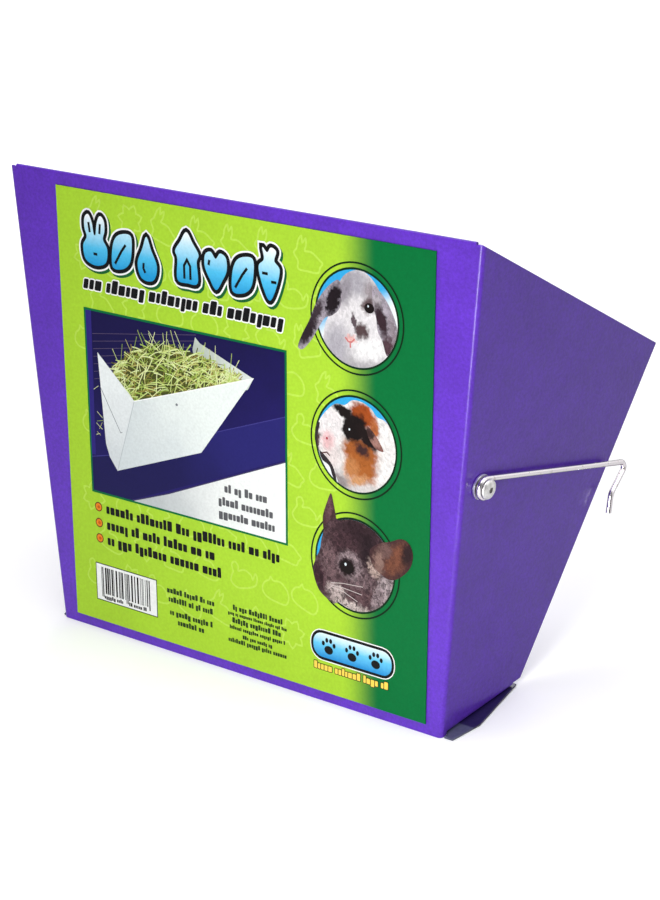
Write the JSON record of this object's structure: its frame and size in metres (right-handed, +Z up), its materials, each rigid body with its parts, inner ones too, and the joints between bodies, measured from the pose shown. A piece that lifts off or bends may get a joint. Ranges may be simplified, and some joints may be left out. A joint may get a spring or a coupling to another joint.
{
  "type": "hay rack feeder",
  "caption": "Purple sheet-steel hay rack bin for a wire cage, open at the top and back, with a printed card and swivelling wire hooks",
  "frame": {"origin": "middle of the floor pan's underside, in the plane the bin stands on", "axes": "+X to the right seen from the front, +Y from the front panel back towards the cage, +Z up"},
  "size_m": [0.24, 0.1391, 0.1992],
  "materials": {
    "purple_powder_coat": "glossy purple powder coat on steel sheet",
    "pan_powder_coat": "glossy purple powder coat on steel sheet",
    "printed_card": "lime and green print on coated card",
    "nickel_plated_wire": "bright nickel plate on steel wire",
    "aluminium_rivet": "bare aluminium blind rivet",
    "steel_mandrel": "grey steel, broken off in the rivet",
    "zinc_washer": "zinc plate on steel"
  },
  "bodies": {
    "bin": {"bin_body": "purple_powder_coat", "floor_pan": "pan_powder_coat", "label_card": "printed_card", "right_rivet": "aluminium_rivet", "right_rivet_mandrel": "steel_mandrel", "right_outer_washer": "zinc_washer", "right_inner_washer": "zinc_washer", "left_rivet": "aluminium_rivet", "left_rivet_mandrel": "steel_mandrel", "left_outer_washer": "zinc_washer", "left_inner_washer": "zinc_washer"},
    "hook_right": {"right_hook": "nickel_plated_wire"},
    "hook_left": {"left_hook": "nickel_plated_wire"}
  },
  "joints": [
    {"name": "right_hook_pivot", "type": "hinge", "parent": "bin", "child": "hook_right", "pos_m": [0.11185, -0.00144, 0.10178], "axis": [0.9948, -0.0582, -0.0831], "range_deg": [-60, 100]},
    {"name": "left_hook_pivot", "type": "hinge", "parent": "bin", "child": "hook_left", "pos_m": [-0.11185, -0.00144, 0.10178], "axis": [0.9948, 0.0582, 0.0831], "range_deg": [-60, 100]}
  ]
}
